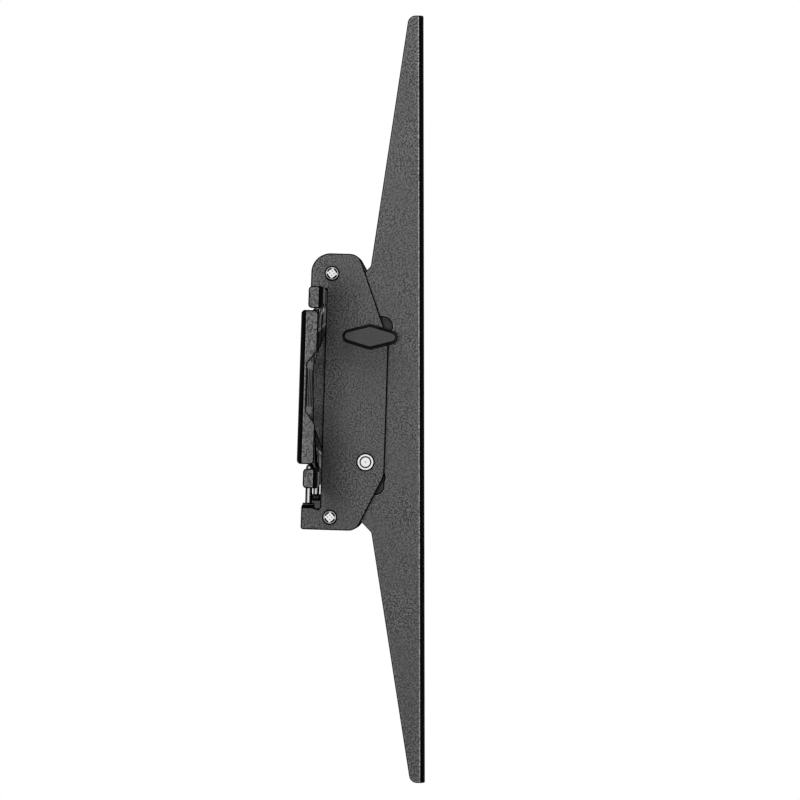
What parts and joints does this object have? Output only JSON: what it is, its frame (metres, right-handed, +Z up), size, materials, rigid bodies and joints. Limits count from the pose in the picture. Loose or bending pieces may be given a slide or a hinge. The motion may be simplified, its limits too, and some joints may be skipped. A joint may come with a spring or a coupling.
{
  "type": "tilting television wall mount",
  "caption": "Tilting television wall mount: a folded steel wall plate, sliding hook brackets and upright arms with clamping knobs and locking screws.",
  "frame": {"origin": "middle of the wall plate's back face, on the wall", "axes": "+X to the right as seen from the room, +Y into the wall, +Z up"},
  "size_m": [0.66, 0.0762, 0.4309],
  "materials": {
    "coated_steel": "fine-textured dark grey powder coat",
    "zinc_steel": "bright zinc plating",
    "knob_plastic": "satin moulded black plastic",
    "washer_plastic": "smooth moulded nylon",
    "insert_brass": "turned brass"
  },
  "bodies": {
    "wall_plate": {"wall_plate": "coated_steel"},
    "left_arm": {"left_tv_arm": "coated_steel"},
    "left_bracket": {"left_hook_plate_outer": "coated_steel", "left_hook_plate_inner": "coated_steel", "left_upper_spacer": "zinc_steel", "left_lower_spacer": "zinc_steel", "left_cross_screws": "zinc_steel", "left_tilt_bolt": "zinc_steel", "left_bolt_sleeve": "zinc_steel", "left_slide_pin": "zinc_steel", "left_pin_sleeve": "zinc_steel", "left_friction_washers": "washer_plastic"},
    "left_knob": {"left_tilt_knob": "knob_plastic", "left_knob_insert": "insert_brass"},
    "left_lock": {"left_lock_screw": "zinc_steel"},
    "right_arm": {"right_tv_arm": "coated_steel"},
    "right_bracket": {"right_hook_plate_outer": "coated_steel", "right_hook_plate_inner": "coated_steel", "right_upper_spacer": "zinc_steel", "right_lower_spacer": "zinc_steel", "right_cross_screws": "zinc_steel", "right_tilt_bolt": "zinc_steel", "right_bolt_sleeve": "zinc_steel", "right_slide_pin": "zinc_steel", "right_pin_sleeve": "zinc_steel", "right_friction_washers": "washer_plastic"},
    "right_knob": {"right_tilt_knob": "knob_plastic", "right_knob_insert": "insert_brass"},
    "right_lock": {"right_lock_screw": "zinc_steel"}
  },
  "joints": [
    {"name": "left_bracket_slide", "type": "slide", "parent": "wall_plate", "child": "left_bracket", "axis": [1, 0, 0], "range_m": [-0.1, 0.15]},
    {"name": "left_arm_tilt", "type": "hinge", "parent": "left_bracket", "child": "left_arm", "pos_m": [-0.2, -0.08, -0.011], "axis": [1, 0, 0], "range_deg": [-9.8, 12.1]},
    {"name": "left_knob_turn", "type": "hinge", "parent": "left_bracket", "child": "left_knob", "pos_m": [-0.2, -0.0375, 0.02935], "axis": [-1, 0, 0], "range_deg": [0, 270]},
    {"name": "left_lock_travel", "type": "slide", "parent": "left_bracket", "child": "left_lock", "axis": [0, 0, 1], "range_m": [-0.0135, 0]},
    {"name": "right_bracket_slide", "type": "slide", "parent": "wall_plate", "child": "right_bracket", "axis": [1, 0, 0], "range_m": [-0.15, 0.1]},
    {"name": "right_arm_tilt", "type": "hinge", "parent": "right_bracket", "child": "right_arm", "pos_m": [0.2, -0.08, -0.011], "axis": [1, 0, 0], "range_deg": [-9.8, 12.1]},
    {"name": "right_knob_turn", "type": "hinge", "parent": "right_bracket", "child": "right_knob", "pos_m": [0.2, -0.0375, 0.02935], "axis": [1, 0, 0], "range_deg": [0, 270]},
    {"name": "right_lock_travel", "type": "slide", "parent": "right_bracket", "child": "right_lock", "axis": [0, 0, 1], "range_m": [-0.0135, 0]}
  ]
}
